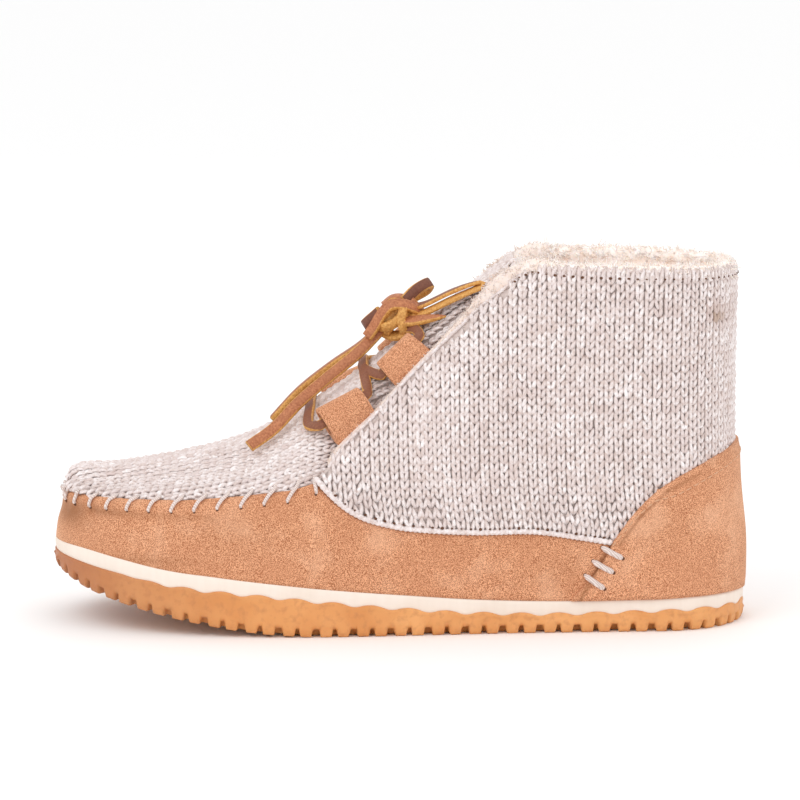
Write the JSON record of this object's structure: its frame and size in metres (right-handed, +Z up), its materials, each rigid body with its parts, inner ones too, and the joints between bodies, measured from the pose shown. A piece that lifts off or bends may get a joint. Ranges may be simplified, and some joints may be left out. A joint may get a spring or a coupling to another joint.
{
  "type": "moccasin slipper",
  "caption": "Lace-up bootie slipper with a knit boot, suede moccasin wall and heel counter, fleece lining, cream midsole strip and lugged gum outsole.",
  "frame": {"origin": "on the floor under the middle of the shoe's bounding box, the bow left out", "axes": "+Z up, -X to the toe, -Y to the outer side of this left shoe"},
  "size_m": [0.265, 0.095, 0.1384],
  "materials": {
    "gum": "smooth moulded gum rubber",
    "cream": "matt moulded foam",
    "fleece": "woolly pile",
    "knit": "chunky stockinette, heather oatmeal",
    "suede": "napped suede",
    "lace": "flat rawhide, waxed grain face"
  },
  "bodies": {
    "root": {"outsole": "gum", "midsole": "cream", "insole": "fleece", "upper": "knit", "tongue": "knit", "suede_vamp": "suede", "heel_counter": "suede", "tab_lower_outer": "suede", "tab_lower_inner": "suede", "tab_upper_outer": "suede", "tab_upper_inner": "suede", "lace_crossings": "lace", "lace_knot": "lace", "lace_end_outer": "lace", "lace_end_inner": "lace", "lace_loop_inner": "lace", "lace_loop_outer": "lace"}
  },
  "joints": []
}
